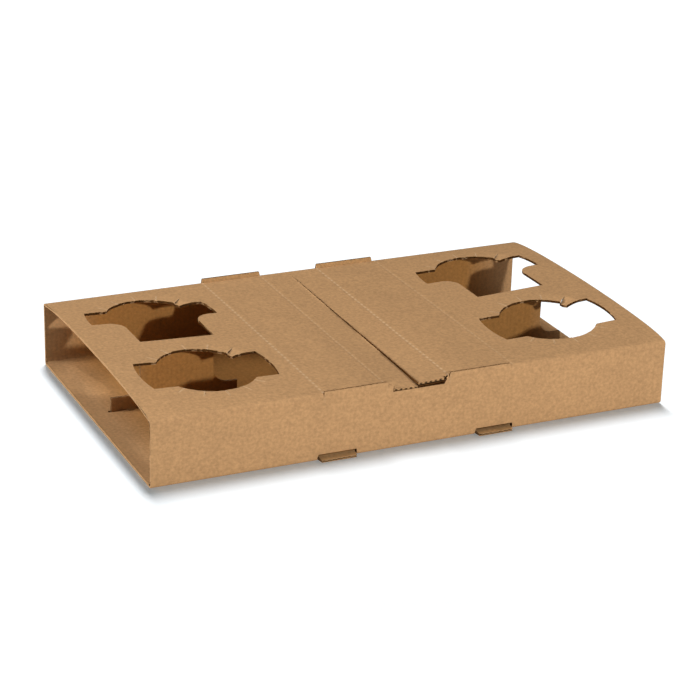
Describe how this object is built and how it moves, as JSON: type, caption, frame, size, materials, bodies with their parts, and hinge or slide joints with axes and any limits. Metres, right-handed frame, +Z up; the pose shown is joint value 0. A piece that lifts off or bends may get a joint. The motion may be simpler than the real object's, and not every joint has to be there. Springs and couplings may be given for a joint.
{
  "type": "cardboard cup carrier",
  "caption": "Low folded sleeve of thin corrugated board with open ends, eared cup holes in its arched top, hanging divider flaps, and a creased and slit handle zone.",
  "frame": {"origin": "middle of the underside of the base, midway between the two open ends and between the front and rear walls", "axes": "+X along the sleeve to the right open end, +Y from the front wall to the rear wall, +Z up"},
  "size_m": [0.345, 0.206, 0.0478],
  "materials": {
    "kraft_board": "unbleached kraft liner, matt, with faint flute lines"
  },
  "bodies": {
    "root": {"carrier_sleeve": "kraft_board"}
  },
  "joints": []
}
